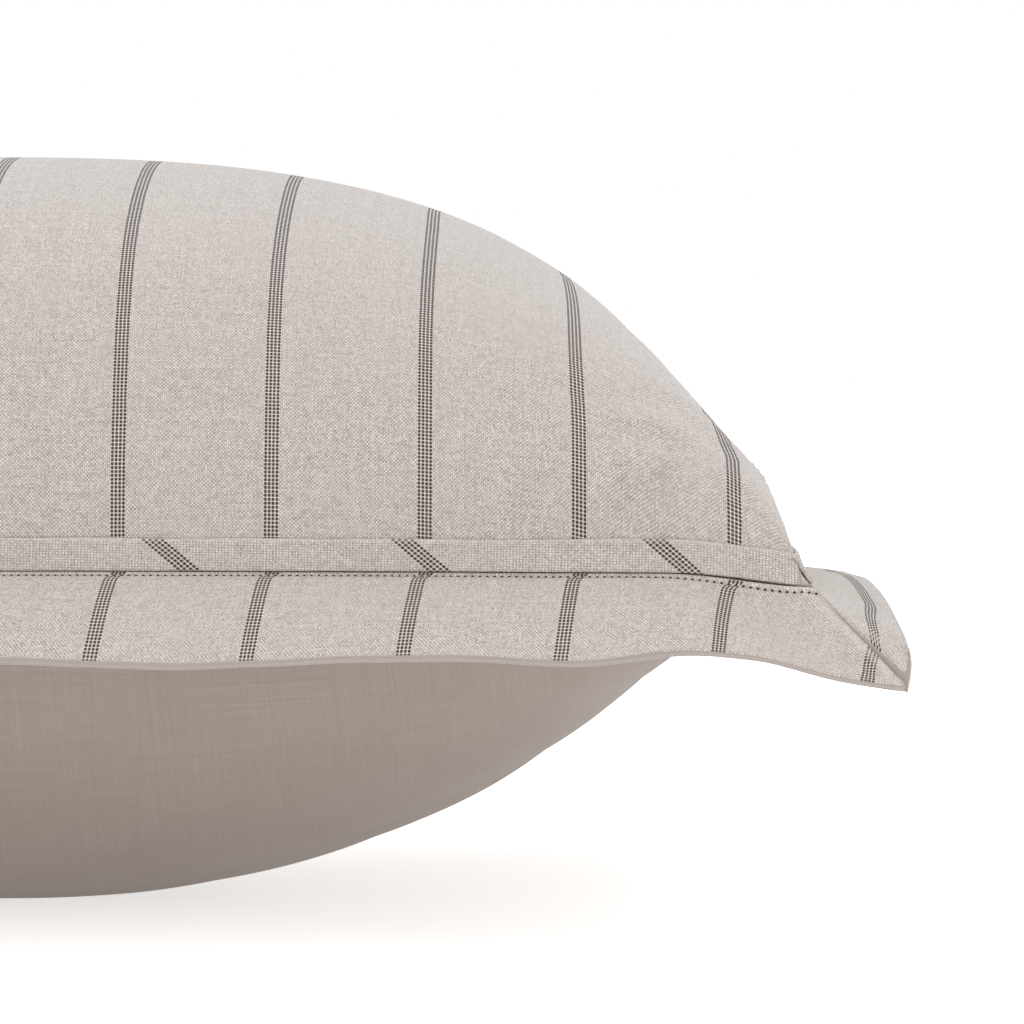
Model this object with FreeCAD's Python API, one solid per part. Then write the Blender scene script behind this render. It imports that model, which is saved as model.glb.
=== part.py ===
"""Flanged throw pillow: a zipped cover with a striped front, an inner band and a mitred flange,
filled by a sewn insert.

Millimetres, +Z up.  The pillow lies on its back panel; the origin is the middle of the patch it
rests on.  +Y is the side that holds the zip.
"""
import FreeCAD, Part
import math
import os

from FreeCAD import Vector

# ---- driving dimensions ---------------------------------------------------------------------
BODY_SIZE = 508.0            # seam to seam across the body, at its corners
FLANGE_REACH = 33.0          # how far the flange reaches past the seam, in plan
FLANGE_DROP = 20.0           # how far its hem hangs below the seam
BAND_WIDTH = 12.7            # folded inner band lying on the front panel
SEAM_HEIGHT = 114.0          # height of the body's seam above the surface it rests on
CROWN_RISE = 128.0           # front panel's crown above the seam
SIDE_PULL = 28.0             # how far each side's middle is drawn in by the filling
# each half's profile: its share of a quarter wave (1 is a vertical edge at the seam) and the
# exponent on it (below 1 is fuller near the seam)
FRONT_PROFILE = (0.97, 0.78)
BACK_PROFILE = (0.86, 0.955)
FLANGE_SLOPE = 0.55          # share of the flange's drop that is straight; the rest curves down

CLOTH = 1.2                  # thickness of one layer of cover cloth
BAND_THICK = 1.0             # the inner band's two folded layers
BELLY_SPARE = 3.0            # extra depth under the belly, which the rest patch cuts away
LAYER_GAP = 0.3              # clearance between layers that lie on each other
INSERT_GAP = 3.0             # clearance between the cover and the insert
CASING = 1.0                 # thickness of the insert's casing
FILLING_GAP = 4.0            # clearance between the casing and the filling
THREAD = 0.5                 # sewing thread
STITCH_INSET = 1.6           # topstitching's distance from the seam

ZIP_Y = 208.0                # where the zip crosses the back panel, its straightest line
ZIP_Z = 77.9
ZIP_TILT = 53.9              # slope of the back panel there, degrees
ZIP_TRAVEL = 340.0           # slider's run from closed to open
TAPE_WIDTH = 12.0            # each of the two tapes
TAPE_LENGTH = 392.0
TAPE_THICK = 0.6
COIL_WIDTH = 2.4
COIL_HEIGHT = 1.6
COIL_SPLIT = 0.5             # half of the slit between the coils, where the slider's post runs
SLIDER_LENGTH = 9.0
SLIDER_WIDTH = 8.4
PLATE_THICK = 1.2            # each of the slider's plates
PLATE_ROUND = 0.5            # rounding of its corners
POST_LENGTH = 3.0            # post that joins the plates between the coils
POST_GAP = 0.2               # post to each coil
BRIDGE = (4.8, 1.6, 1.7)     # length, width and reach over the tab's axis of the pull's bridge
BRIDGE_OPENING = (2.4, 0.8)  # length of the opening through it and reach over the axis
TAB_LENGTH = 24.0
TAB_WIDTH = 6.4
TAB_THICK = 1.0
TAB_WINDOW = (4.2, 2.6)      # length and width of the window that the bridge passes through
TAB_HOLE = (3.0, 7.0, 2.4)   # grip hole: its two ends from the tab's tip, and its width
TAB_ROUND = 2.4
STOP_LENGTH = 4.0
ZIP_STITCH_LINE = 6.5        # stitching on each tape, from the zip's middle
ZIP_STITCH_SHORT = 3.0       # stitching ends this far inside the tape's ends

LABEL_WIDTH = 26.0
LABEL_LENGTH = 40.0
LABEL_PLACE = (0.70, 0.08)   # along the front seam and in from it, as shares of the panel

ROWS = 17                    # points each way that shape a curved panel
STRIP_ROWS = 5               # points across a flange or band strip

SIDES = ("front", "right", "back", "left")

# ---- derived dimensions ---------------------------------------------------------------------
HALF = BODY_SIZE / 2
ZIP_SLOT = TAPE_WIDTH + LAYER_GAP
CUT_DEPTH = BODY_SIZE / 8         # reach of the cuts that part the back panel at the zip
SLOT_DEPTH = 20.0
SLIDER_START = -ZIP_TRAVEL / 2
CHAIN_END = ZIP_TRAVEL / 2 + SLIDER_LENGTH / 2 + 1.0
OUTER_PLATE = TAPE_THICK / 2 + COIL_HEIGHT + LAYER_GAP
TAB_AXIS = OUTER_PLATE + PLATE_THICK + 0.7


# ---- shape of the pillow --------------------------------------------------------------------
def steps(count, low=-1.0, high=1.0):
    return [low + (high - low) * i / (count - 1) for i in range(count)]


def spread(s, profile=BACK_PROFILE):
    """Place across the body for a step s from -1 to 1, closer together near the seam."""
    wave = profile[0] * math.pi / 2
    return math.copysign(abs(math.sin(wave * s) / math.sin(wave)) ** profile[1], s)


def swell(s, profile=BACK_PROFILE):
    """Share of the full height at that step: 1 in the middle, 0 at the seam."""
    wave = profile[0] * math.pi / 2
    share = (math.cos(wave * s) - math.cos(wave)) / (1 - math.cos(wave))
    return max(share, 0.0) ** profile[1]


def in_plan(u, v, half):
    """Plan position of a square's point (u, v), with its sides drawn in between the corners."""
    return half * u - SIDE_PULL * u * (1 - v * v), half * v - SIDE_PULL * v * (1 - u * u)


def dome(half, rise, base, profile=BACK_PROFILE):
    """Net of points over the body: rise above base in the middle, base itself at the seam."""
    net = []
    for s in steps(ROWS):
        row = []
        for t in steps(ROWS):
            x, y = in_plan(spread(s, profile), spread(t, profile), half)
            row.append(Vector(x, y, base + rise * swell(s, profile) * swell(t, profile)))
        net.append(row)
    return net


def turned(x, y, side):
    """The front side's point (x, y) carried round to another side, a quarter turn each."""
    for _ in range(SIDES.index(side)):
        x, y = -y, x
    return x, y


def flange_point(q, r, side, lift):
    """Point of the flange: q along its side from -1 to 1, r from the seam (0) to the hem (1)."""
    half = HALF + FLANGE_REACH * r
    x, y = in_plan(spread(q), -1.0, half)
    x -= LAYER_GAP / 2 * q
    x, y = turned(x, y, side)
    drop = FLANGE_DROP * (FLANGE_SLOPE * r + (1 - FLANGE_SLOPE) * r * r)
    return Vector(x, y, SEAM_HEIGHT - drop + lift)


def flange_net(side, lift, inner=0.0, outer=1.0, reach=1.0):
    across = steps(STRIP_ROWS, inner, outer)
    along = steps(ROWS, -reach, reach)
    return [[flange_point(q, r, side, lift) for q in along] for r in across]


# ---- making solids --------------------------------------------------------------------------
def surface(net):
    made = Part.BSplineSurface()
    made.interpolate(net)
    return made


def slab(upper, lower):
    """Closed solid between two nets of points, with ruled walls round their four edges."""
    top, bottom = surface(upper), surface(lower)
    faces = [top.toShape(), bottom.toShape()]
    u0, u1, v0, v1 = top.bounds()
    p0, p1, q0, q1 = bottom.bounds()
    pairs = [(top.uIso(u0), bottom.uIso(p0)), (top.uIso(u1), bottom.uIso(p1)),
             (top.vIso(v0), bottom.vIso(q0)), (top.vIso(v1), bottom.vIso(q1))]
    for above, below in pairs:
        faces.append(Part.makeRuledSurface(above.toShape(), below.toShape()))
    return solid_of(faces)


def solid_of(faces):
    skin = Part.Compound(faces)
    skin.sewShape()
    made = Part.makeSolid(skin.Shells[0] if skin.Shells else Part.makeShell(skin.Faces))
    if made.Volume < 0:
        made.reverse()
    return made


def offset_net(base, u_range, v_range, lift, rows=STRIP_ROWS, columns=ROWS):
    """Net of points over part of a surface, lift away from it along its outward normal."""
    u0, u1, v0, v1 = base.bounds()
    net = []
    for a in steps(rows, *u_range):
        row = []
        for b in steps(columns, *v_range):
            u, v = u0 + (u1 - u0) * a, v0 + (v1 - v0) * b
            row.append(base.value(u, v) + base.normal(u, v) * lift)
        net.append(row)
    return net


def box(x0, x1, y0, y1, z0, z1):
    return Part.makeBox(x1 - x0, y1 - y0, z1 - z0, Vector(x0, y0, z0))


def on_zip(shape, x=0.0):
    """Put a shape made in the zip's own frame (x along it, y across, z outward) in place."""
    turn = FreeCAD.Rotation(Vector(1, 0, 0), 180 + ZIP_TILT)
    placed = shape.copy()
    placed.Placement = FreeCAD.Placement(Vector(x, ZIP_Y, ZIP_Z), turn).multiply(placed.Placement)
    return placed


def above_rest(shape):
    """Cut a shape flat at the surface that the pillow lies on."""
    reach = BODY_SIZE
    return shape.common(box(-reach, reach, -reach, reach, 0.0, reach))


# ---- faces of the nested layers -------------------------------------------------------------
FRONT_INSET = CLOTH + 2 * LAYER_GAP
FRONT_BASE = SEAM_HEIGHT + LAYER_GAP
BELLY_WALL = CLOTH + LAYER_GAP
BACK_BASE = SEAM_HEIGHT - LAYER_GAP / 2 - CLOTH / 2


def front_face(depth, base=FRONT_BASE):
    """Face of the front half, depth in from the front panel's outer face."""
    inset = FRONT_INSET + depth
    return dome(HALF - inset, CROWN_RISE - inset, base, FRONT_PROFILE)


def back_face(depth, base=BACK_BASE):
    """Face of the back half, depth in from the back panel's inner face."""
    inset = BELLY_WALL + depth
    return dome(HALF - inset, inset - SEAM_HEIGHT, base)


# ---- cover ----------------------------------------------------------------------------------
def front_panel():
    return slab(front_face(0.0), front_face(CLOTH))


def front_place(s, t):
    u, v = spread(s, FRONT_PROFILE), spread(t, FRONT_PROFILE)
    x, y = in_plan(u, v, HALF - FRONT_INSET)
    rise = (CROWN_RISE - FRONT_INSET) * swell(s, FRONT_PROFILE) * swell(t, FRONT_PROFILE)
    return Vector(x, y, FRONT_BASE + rise)


def band_step(q, share):
    """Step in from the front side's seam that covers a share of the band's width, at step q."""
    edge = front_place(q, -1.0)
    low, high = 0.0, 0.5
    for _ in range(30):
        middle = (low + high) / 2
        if front_place(q, middle - 1.0).distanceToPoint(edge) < BAND_WIDTH * share:
            low = middle
        else:
            high = middle
    return low


def inner_band(side, panel):
    """Folded strip along one side; the left and right ones run over the ends of the others."""
    runs_through = side in ("left", "right")
    upper, lower = [], []
    for share in steps(STRIP_ROWS, 0.0, 1.0):
        above, below = [], []
        for q in steps(ROWS):
            t = band_step(q, share) - 1.0
            s = q if runs_through else q * (1.0 - band_step(t, 1.0) - LAYER_GAP / HALF)
            flat = front_place(s, t)
            x, y = turned(flat.x, flat.y, side)
            u, v = panel.parameter(Vector(x, y, flat.z))
            above.append(panel.value(u, v) + panel.normal(u, v) * (LAYER_GAP + BAND_THICK))
            below.append(panel.value(u, v) + panel.normal(u, v) * LAYER_GAP)
        upper.append(above)
        lower.append(below)
    return slab(upper, lower)


def flange(side):
    return slab(flange_net(side, LAYER_GAP / 2 + CLOTH), flange_net(side, LAYER_GAP / 2))


def flange_backing(side):
    """The back panel's margin under the flange, reaching in over the top of the belly's wall."""
    inner = -CLOTH / FLANGE_REACH
    top = flange_net(side, -LAYER_GAP / 2, inner)
    return slab(top, flange_net(side, -LAYER_GAP / 2 - CLOTH, inner))


def whole_back():
    """The back panel and its margin, before the zip divides it."""
    outside = dome(HALF, -BACK_BASE - BELLY_SPARE, BACK_BASE)
    belly = above_rest(slab(outside, back_face(0.0)))
    return belly.fuse([flange_backing(side) for side in SIDES])


def back_panels():
    """Main panel and the narrow zip facing above it, with the zip's slot left open between."""
    back = whole_back()
    reach = BODY_SIZE
    thin = LAYER_GAP / 2
    line = box(-reach, reach, -thin, thin, -CUT_DEPTH, CUT_DEPTH)
    half_slot = TAPE_LENGTH / 2 + thin
    slot = box(-half_slot, half_slot, -ZIP_SLOT, ZIP_SLOT, -SLOT_DEPTH, SLOT_DEPTH)
    pieces = back.cut(on_zip(line)).cut(on_zip(slot)).Solids
    pieces.sort(key=lambda piece: piece.BoundBox.ZMin)
    return pieces[0], pieces[1]


def topstitching():
    """A line of thread along each side of the flange, beside the seam."""
    start = STITCH_INSET / FLANGE_REACH
    end = (STITCH_INSET + THREAD) / FLANGE_REACH
    low = LAYER_GAP + CLOTH
    lines = []
    for side in SIDES:
        top = flange_net(side, low + THREAD, start, end)
        lines.append(slab(top, flange_net(side, low, start, end)))
    return Part.makeCompound(lines)


def care_label():
    """Blank folded label held in the seam, lying against the inside of the back panel."""
    inside = surface(back_face(0.0))
    across = LABEL_WIDTH / BODY_SIZE / 2
    place, start = LABEL_PLACE
    ends = (start, start + LABEL_LENGTH / BODY_SIZE)
    sides = (place - across, place + across)
    lifts = (LAYER_GAP + 2 * TAPE_THICK, LAYER_GAP)
    return slab(*[offset_net(inside, sides, ends, lift, 7, 7) for lift in lifts])


# ---- insert ---------------------------------------------------------------------------------
def insert_case_top():
    outside = CLOTH + INSERT_GAP
    base = SEAM_HEIGHT + LAYER_GAP
    return slab(front_face(outside, base), front_face(outside + CASING, base))


def insert_case_bottom():
    base = SEAM_HEIGHT
    return slab(back_face(INSERT_GAP, base), back_face(INSERT_GAP + CASING, base))


def insert_filling():
    """Closed body of fibre filling, its top and bottom joined by a low wall at the seam."""
    depth = INSERT_GAP + CASING + FILLING_GAP
    top = front_face(CLOTH + depth, SEAM_HEIGHT + 2 * LAYER_GAP)
    return slab(top, back_face(depth, SEAM_HEIGHT - 2 * LAYER_GAP))


# ---- zip ------------------------------------------------------------------------------------
def zip_tape(hand):
    """One woven tape; hand is 1 on the main panel's side and -1 on the facing's."""
    ends = TAPE_LENGTH / 2
    near, far = sorted((hand * COIL_SPLIT, hand * TAPE_WIDTH))
    return on_zip(box(-ends, ends, near, far, -TAPE_THICK / 2, TAPE_THICK / 2))


def zip_coil(hand):
    near, far = sorted((hand * COIL_SPLIT, hand * (COIL_SPLIT + COIL_WIDTH)))
    low = TAPE_THICK / 2
    return on_zip(box(-CHAIN_END, CHAIN_END, near, far, low, low + COIL_HEIGHT))


def zip_top_stops():
    """The two stops that the slider meets when the zip is closed, one to each coil."""
    stops = []
    for hand in (1, -1):
        near, far = sorted((hand * COIL_SPLIT, hand * (COIL_SPLIT + COIL_WIDTH)))
        low = TAPE_THICK / 2
        start = -CHAIN_END - STOP_LENGTH
        stops.append(on_zip(box(start, -CHAIN_END, near, far, low, low + COIL_HEIGHT)))
    return Part.makeCompound(stops)


def zip_bottom_stop():
    """One stop across both coils at the open end."""
    half = COIL_SPLIT + COIL_WIDTH
    low = TAPE_THICK / 2
    end = CHAIN_END + STOP_LENGTH
    return on_zip(box(CHAIN_END, end, -half, half, low, low + COIL_HEIGHT))


def zip_slider():
    """Two plates joined by a post between the coils, with guide flanges and a pull bridge."""
    half_x, half_y = SLIDER_LENGTH / 2, SLIDER_WIDTH / 2
    top = OUTER_PLATE + PLATE_THICK
    under = -TAPE_THICK / 2 - LAYER_GAP
    guide = COIL_SPLIT + COIL_WIDTH + LAYER_GAP
    body = box(-half_x, half_x, -half_y, half_y, OUTER_PLATE, top)
    corners = [edge for edge in body.Edges if edge.Length < PLATE_THICK + 0.01]
    body = body.makeFillet(PLATE_ROUND, corners)
    pieces = [box(-half_x, half_x, -half_y, half_y, under - PLATE_THICK, under)]
    post = COIL_SPLIT - POST_GAP
    sunk = PLATE_THICK / 2
    low, high = under - sunk, OUTER_PLATE + sunk
    pieces.append(box(-half_x, -half_x + POST_LENGTH, -post, post, low, high))
    for hand in (1, -1):
        near, far = sorted((hand * guide, hand * half_y))
        pieces.append(box(-half_x, half_x, near, far, TAPE_THICK / 2 + LAYER_GAP, high))
    x, y, reach = BRIDGE[0] / 2, BRIDGE[1] / 2, BRIDGE[2]
    bridge = box(-x, x, -y, y, top - sunk, TAB_AXIS + reach)
    x, reach = BRIDGE_OPENING[0] / 2, BRIDGE_OPENING[1]
    bridge = bridge.cut(box(-x, x, -2 * y, 2 * y, top, TAB_AXIS + reach))
    pieces.append(bridge)
    return on_zip(body.fuse(pieces).removeSplitter(), SLIDER_START)


def zip_pull_tab():
    """Flat tab whose end bar turns under the slider's bridge."""
    half_y = TAB_WIDTH / 2
    half_z = TAB_THICK / 2
    tab = box(0.0, TAB_LENGTH, -half_y, half_y, -half_z, half_z)
    at_tip = [e for e in tab.Edges if abs(e.BoundBox.XMin - TAB_LENGTH) < 0.01]
    tab = tab.makeFillet(TAB_ROUND, [e for e in at_tip if e.Length < TAB_THICK + 0.01])
    window_end, window = TAB_WINDOW[0], TAB_WINDOW[1] / 2
    tab = tab.cut(box(-TAB_THICK, window_end, -window, window, -TAB_THICK, TAB_THICK))
    low, high, hole = TAB_LENGTH - TAB_HOLE[1], TAB_LENGTH - TAB_HOLE[0], TAB_HOLE[2] / 2
    tab = tab.cut(box(low, high, -hole, hole, -TAB_THICK, TAB_THICK))
    bar = Part.makeCylinder(half_z, TAB_WIDTH, Vector(0, -half_y, 0), Vector(0, 1, 0))
    tab = tab.fuse(bar).removeSplitter()
    tab.translate(Vector(0, 0, TAB_AXIS))
    return on_zip(tab, SLIDER_START)


def zip_stitching():
    """A line of thread along each tape, clear of the slider."""
    ends = TAPE_LENGTH / 2 - ZIP_STITCH_SHORT
    low = TAPE_THICK / 2
    lines = []
    for hand in (1, -1):
        near, far = sorted((hand * ZIP_STITCH_LINE, hand * (ZIP_STITCH_LINE + THREAD)))
        lines.append(on_zip(box(-ends, ends, near, far, low, low + THREAD / 2)))
    return Part.makeCompound(lines)


# ---- build ----------------------------------------------------------------------------------
def sub_parts():
    made = {"front_panel": front_panel()}
    panel = surface(front_face(0.0))
    for side in SIDES:
        made["inner_band_" + side] = inner_band(side, panel)
        made["flange_" + side] = flange(side)
    made["back_panel_main"], made["back_panel_zip_facing"] = back_panels()
    made["topstitching"] = topstitching()
    made["care_label"] = care_label()
    made["insert_case_top"] = insert_case_top()
    made["insert_case_bottom"] = insert_case_bottom()
    made["insert_filling"] = insert_filling()
    made["zip_tape_main"] = zip_tape(1)
    made["zip_tape_facing"] = zip_tape(-1)
    made["zip_coil_main"] = zip_coil(1)
    made["zip_coil_facing"] = zip_coil(-1)
    made["zip_top_stops"] = zip_top_stops()
    made["zip_bottom_stop"] = zip_bottom_stop()
    made["zip_slider"] = zip_slider()
    made["zip_pull_tab"] = zip_pull_tab()
    made["zip_stitching"] = zip_stitching()
    return made


os.makedirs("parts", exist_ok=True)
for node, shape in sub_parts().items():
    shape.exportStep("parts/" + node + ".step")
    size = shape.BoundBox
    print("%-22s solids %d valid %s volume %.0f z %.1f to %.1f" % (
        node, len(shape.Solids), shape.isValid(), shape.Volume, size.ZMin, size.ZMax))
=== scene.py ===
"""Flanged throw pillow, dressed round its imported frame.

A striped linen front with a folded bias band, a mitred flange, a plain zipped back, and the
insert inside.  Metres, +Z up; the pillow lies on its back and +Y is the side with the zip.
"""

import math

import bmesh
import bpy
import numpy as np
from mathutils import Matrix, Vector, noise


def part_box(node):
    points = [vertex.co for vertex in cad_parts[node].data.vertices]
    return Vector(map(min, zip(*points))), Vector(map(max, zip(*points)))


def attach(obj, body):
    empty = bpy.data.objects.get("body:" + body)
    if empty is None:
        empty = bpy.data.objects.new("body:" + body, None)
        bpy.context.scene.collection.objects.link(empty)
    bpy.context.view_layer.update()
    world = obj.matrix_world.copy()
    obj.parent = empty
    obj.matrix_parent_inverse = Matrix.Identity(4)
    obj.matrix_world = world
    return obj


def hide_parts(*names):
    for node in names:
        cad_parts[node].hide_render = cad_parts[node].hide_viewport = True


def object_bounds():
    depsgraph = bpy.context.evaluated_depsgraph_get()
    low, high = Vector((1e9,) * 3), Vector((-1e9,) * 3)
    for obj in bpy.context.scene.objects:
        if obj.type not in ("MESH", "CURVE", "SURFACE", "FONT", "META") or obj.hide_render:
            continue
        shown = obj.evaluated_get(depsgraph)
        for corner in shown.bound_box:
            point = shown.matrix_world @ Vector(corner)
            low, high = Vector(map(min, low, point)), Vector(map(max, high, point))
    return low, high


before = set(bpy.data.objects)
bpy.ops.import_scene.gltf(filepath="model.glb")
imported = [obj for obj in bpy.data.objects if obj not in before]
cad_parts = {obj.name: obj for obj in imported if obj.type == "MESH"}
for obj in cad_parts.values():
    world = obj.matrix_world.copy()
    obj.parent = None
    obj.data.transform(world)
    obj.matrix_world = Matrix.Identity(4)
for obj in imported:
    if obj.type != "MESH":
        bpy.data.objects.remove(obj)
cad_low, cad_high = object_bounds()
MM = 0.001

# ---- sizes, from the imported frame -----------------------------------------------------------
panel_low, panel_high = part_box("front_panel")
PANEL_INSET = 0.6 * MM                    # front panel's edge inside the body's seam
HALF = panel_high.x + 1.8 * MM            # middle of the pillow to the seam at a corner
SEAM_Z = panel_low.z - 1.6 * MM
CROWN_RISE = panel_high.z - panel_low.z + 3.0 * MM      # cloth puffs a little above the frame
BELLY_BASE = SEAM_Z - 0.75 * MM
PRESS = 0.6 * MM                          # the belly rounds off into its rest patch over this
BELLY_DROP = BELLY_BASE + PRESS
SIDE_PULL = 28.0 * MM                     # each side's middle is drawn in by the filling
CORNER_SAG = 3.6 * MM                     # the seam's corners hang this far below its middles
# each half's profile: its share of a quarter wave, and the exponent on it
FRONT_PROFILE = (0.97 * math.pi / 2, 0.78)
BACK_PROFILE = (0.83 * math.pi / 2, 0.98)
FLANGE_REACH = 33.0 * MM
FLANGE_CLOTH = 40.0 * MM                  # width of the flange's cloth, seam to hem
BAND_SHOWN = 10.0 * MM                    # the rest of the band is turned down into the seam
CLOTH = 1.2 * MM                          # thickness of the cover's panels
BAND_THICK, FLANGE_THICK = 0.9 * MM, 0.7 * MM
LAYER_GAP = 0.3 * MM
CUT_HALF = 272.0 * MM                     # half of the side of a panel's flat cut, seam to seam
ARC = 279.0 * MM                          # middle of the front to its seam, along the cloth
STRIPE_PITCH = 46.1 * MM
WARPS_PER_STRIPE = 80
WEFT_PITCH = 0.61 * MM

CELLS = 80                                # cloth simulation's cells each way
SIDES = ("front", "right", "back", "left")

# zip's own directions: along it, across it towards the main panel, and outwards
ZIP_MID = Vector((0.0, 0.208, 0.0779))
ZIP_TILT = math.radians(53.9)
ZIP_ACROSS = np.array((0.0, -math.cos(ZIP_TILT), -math.sin(ZIP_TILT)))
ZIP_OUT = np.array((0.0, math.sin(ZIP_TILT), -math.cos(ZIP_TILT)))
ZIP_FOLD = 4.9 * MM                       # zip's middle to the folded edges beside it
ZIP_STITCHES = 7.4 * MM                   # zip's middle to the stitches that hold its tapes
ZIP_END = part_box("zip_tape_main")[1].x


# ---- small helpers --------------------------------------------------------------------------
def ease(x, low, high):
    """0 below low, 1 above high, smooth between."""
    t = np.clip((np.asarray(x, float) - low) / (high - low), 0.0, 1.0)
    return t * t * (3 - 2 * t)


def bell(x, middle, width):
    return np.exp(-((np.asarray(x, float) - middle) / width) ** 2)


def waver(x, y, seed):
    """Smooth unevenness from -1 to 1 at each place (x, y)."""
    x, y = np.broadcast_arrays(np.asarray(x, float), np.asarray(y, float))
    values = [noise.noise(Vector((a, b, seed))) for a, b in zip(x.ravel(), y.ravel())]
    return np.array(values).reshape(x.shape)


# ---- shape of the stuffed body --------------------------------------------------------------
def swell(u, profile):
    """Share of the full height at the place u across the body: 1 in the middle, 0 at the seam."""
    wave, full = profile
    angle = np.arcsin(np.clip(np.abs(u) ** (1 / full), 0, 1) * math.sin(wave))
    share = (np.cos(angle) - math.cos(wave)) / (1 - math.cos(wave))
    return np.clip(share, 0, None) ** full


def in_plan(u, v, half):
    return half * u - SIDE_PULL * u * (1 - v * v), half * v - SIDE_PULL * v * (1 - u * u)


def corner_sag(x, y):
    """How far the seam and what is sewn to it hang lower towards the corners."""
    return CORNER_SAG * ease(np.abs(x * y) / HALF ** 2, 0.8, 1.0)


def dome(u, v, half, base, rise, profile):
    x, y = in_plan(u, v, half)
    z = base + rise * swell(u, profile) * swell(v, profile) - corner_sag(x, y)
    return np.stack([x, y, z], -1)


def along_cloth(a, b, rise, profile):
    """Step across the body under a step a across the flat cloth, on the line b of the cloth."""
    u = np.linspace(0, 1, 801)
    line = dome(u, 0 * u, HALF, 0.0, rise, profile)
    run = np.concatenate([[0], np.cumsum(np.linalg.norm(np.diff(line, axis=0), axis=1))])
    middle = np.sign(a) * np.interp(np.abs(a), run / run[-1], u)
    at_seam = np.abs(b) ** 4
    return middle * (1 - at_seam) + a * at_seam


def draped(a, b, half, base, rise, profile):
    u = along_cloth(a, b, rise, profile)
    v = along_cloth(b, a, rise, profile)
    return dome(u, v, half, base, rise, profile)


HALVES = {"front": (CROWN_RISE, FRONT_PROFILE), "back": (-BELLY_DROP, BACK_PROFILE)}


def cloth_slack(frames):
    """Inflate the two flat cut panels, sewn round their edge, and return how far each point of
    the front and of the back moves from the plain shape: the cloth's own folds and fullness."""
    bm = bmesh.new()
    where = [bm.verts.layers.float.new(name) for name in ("a", "b", "half")]
    for half_index, (rise, profile) in enumerate(HALVES.values()):
        verts = bmesh.ops.create_grid(bm, x_segments=CELLS, y_segments=CELLS, size=1.0)["verts"]
        a = np.array([v.co.x for v in verts])
        b = np.array([v.co.y for v in verts])
        for v, p in zip(verts, draped(a, b, HALF, SEAM_Z, rise, profile)):
            v[where[0]], v[where[1]], v[where[2]] = v.co.x, v.co.y, half_index
            v.co = p
        if half_index:
            bmesh.ops.reverse_faces(bm, faces=list({f for v in verts for f in v.link_faces}))
    bmesh.ops.remove_doubles(bm, verts=bm.verts, dist=0.01 * MM)
    mesh = bpy.data.meshes.new("slack")
    bm.to_mesh(mesh)
    a, b, which = (np.array([x.value for x in mesh.attributes[n].data]) for n in ("a", "b", "half"))
    start = np.array([v.co for v in mesh.vertices])
    moved = start
    cover = bpy.data.objects.new("slack", mesh)
    bpy.context.scene.collection.objects.link(cover)
    cover.shape_key_add(name="stuffed")
    cut = cover.shape_key_add(name="cut")
    flat = np.stack([a * CUT_HALF, b * CUT_HALF, 0 * a], -1)
    cut.data.foreach_set("co", flat.astype(np.float32).ravel())
    seam = cover.vertex_groups.new(name="seam")
    on_seam = np.nonzero(np.maximum(np.abs(a), np.abs(b)) > 0.9999)[0]
    seam.add([int(i) for i in on_seam], 1.0, "REPLACE")
    cloth = cover.modifiers.new("cloth", "CLOTH")
    s = cloth.settings
    s.rest_shape_key = cut
    s.vertex_group_mass = "seam"
    s.quality = 5
    s.mass = 0.05
    s.tension_stiffness = s.compression_stiffness = 15
    s.shear_stiffness = 2
    s.bending_stiffness = 0.02
    s.tension_damping = s.compression_damping = 5
    s.use_pressure = True
    s.uniform_pressure_force = 4.0
    s.effector_weights.gravity = 0
    cloth.collision_settings.use_collision = False
    for step in range(1, frames + 1):
        bpy.context.scene.frame_set(step)
    shown = cover.evaluated_get(bpy.context.evaluated_depsgraph_get())
    moved = np.array([v.co for v in shown.data.vertices])
    bpy.context.scene.frame_set(1)
    bpy.data.objects.remove(cover)
    slack = np.zeros((2, CELLS + 1, CELLS + 1, 3))
    i = np.rint((a + 1) / 2 * CELLS).astype(int)
    j = np.rint((b + 1) / 2 * CELLS).astype(int)
    slack[which.round().astype(int), i, j] = moved - start
    return slack


def smoothed(table, passes):
    for _ in range(passes):
        padded = np.pad(table, ((1, 1), (1, 1), (0, 0)), mode="edge")
        across = (padded[:-2] + 2 * padded[1:-1] + padded[2:]) / 4
        table = (across[:, :-2] + 2 * across[:, 1:-1] + across[:, 2:]) / 4
    return table


def finer(table):
    """Twice as many cells each way, on smooth curves through the same points."""
    for axis in (0, 1):
        t = np.moveaxis(table, axis, 0)
        ends = np.concatenate([2 * t[:1] - t[1:2], t, 2 * t[-1:] - t[-2:-1]])
        between = (9 * (ends[1:-2] + ends[2:-1]) - ends[:-3] - ends[3:]) / 16
        joined = np.empty((2 * len(t) - 1, *t.shape[1:]))
        joined[::2], joined[1::2] = t, between
        table = np.moveaxis(joined, 0, axis)
    return table


class Skin:
    """Surface of half of the body: a place for each step across the flat cloth, -1 to 1."""

    def __init__(self, points, outward):
        self.points = points
        slope_a, slope_b = np.gradient(points, axis=0), np.gradient(points, axis=1)
        normals = outward * np.cross(slope_a, slope_b)
        self.normals = normals / np.linalg.norm(normals, axis=-1, keepdims=True)

    def look_up(self, table, a, b):
        last = len(table) - 1
        x = np.clip((np.asarray(a, float) + 1) / 2 * last, 0, last)
        y = np.clip((np.asarray(b, float) + 1) / 2 * last, 0, last)
        i = np.minimum(x.astype(int), last - 1)
        j = np.minimum(y.astype(int), last - 1)
        fx, fy = (x - i)[..., None], (y - j)[..., None]
        near = table[i, j] * (1 - fy) + table[i, j + 1] * fy
        far = table[i + 1, j] * (1 - fy) + table[i + 1, j + 1] * fy
        return near * (1 - fx) + far * fx

    def at(self, a, b, lift=0.0):
        lift = np.broadcast_to(np.asarray(lift, float), np.shape(a))[..., None]
        return self.look_up(self.points, a, b) + lift * self.look_up(self.normals, a, b)


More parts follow.
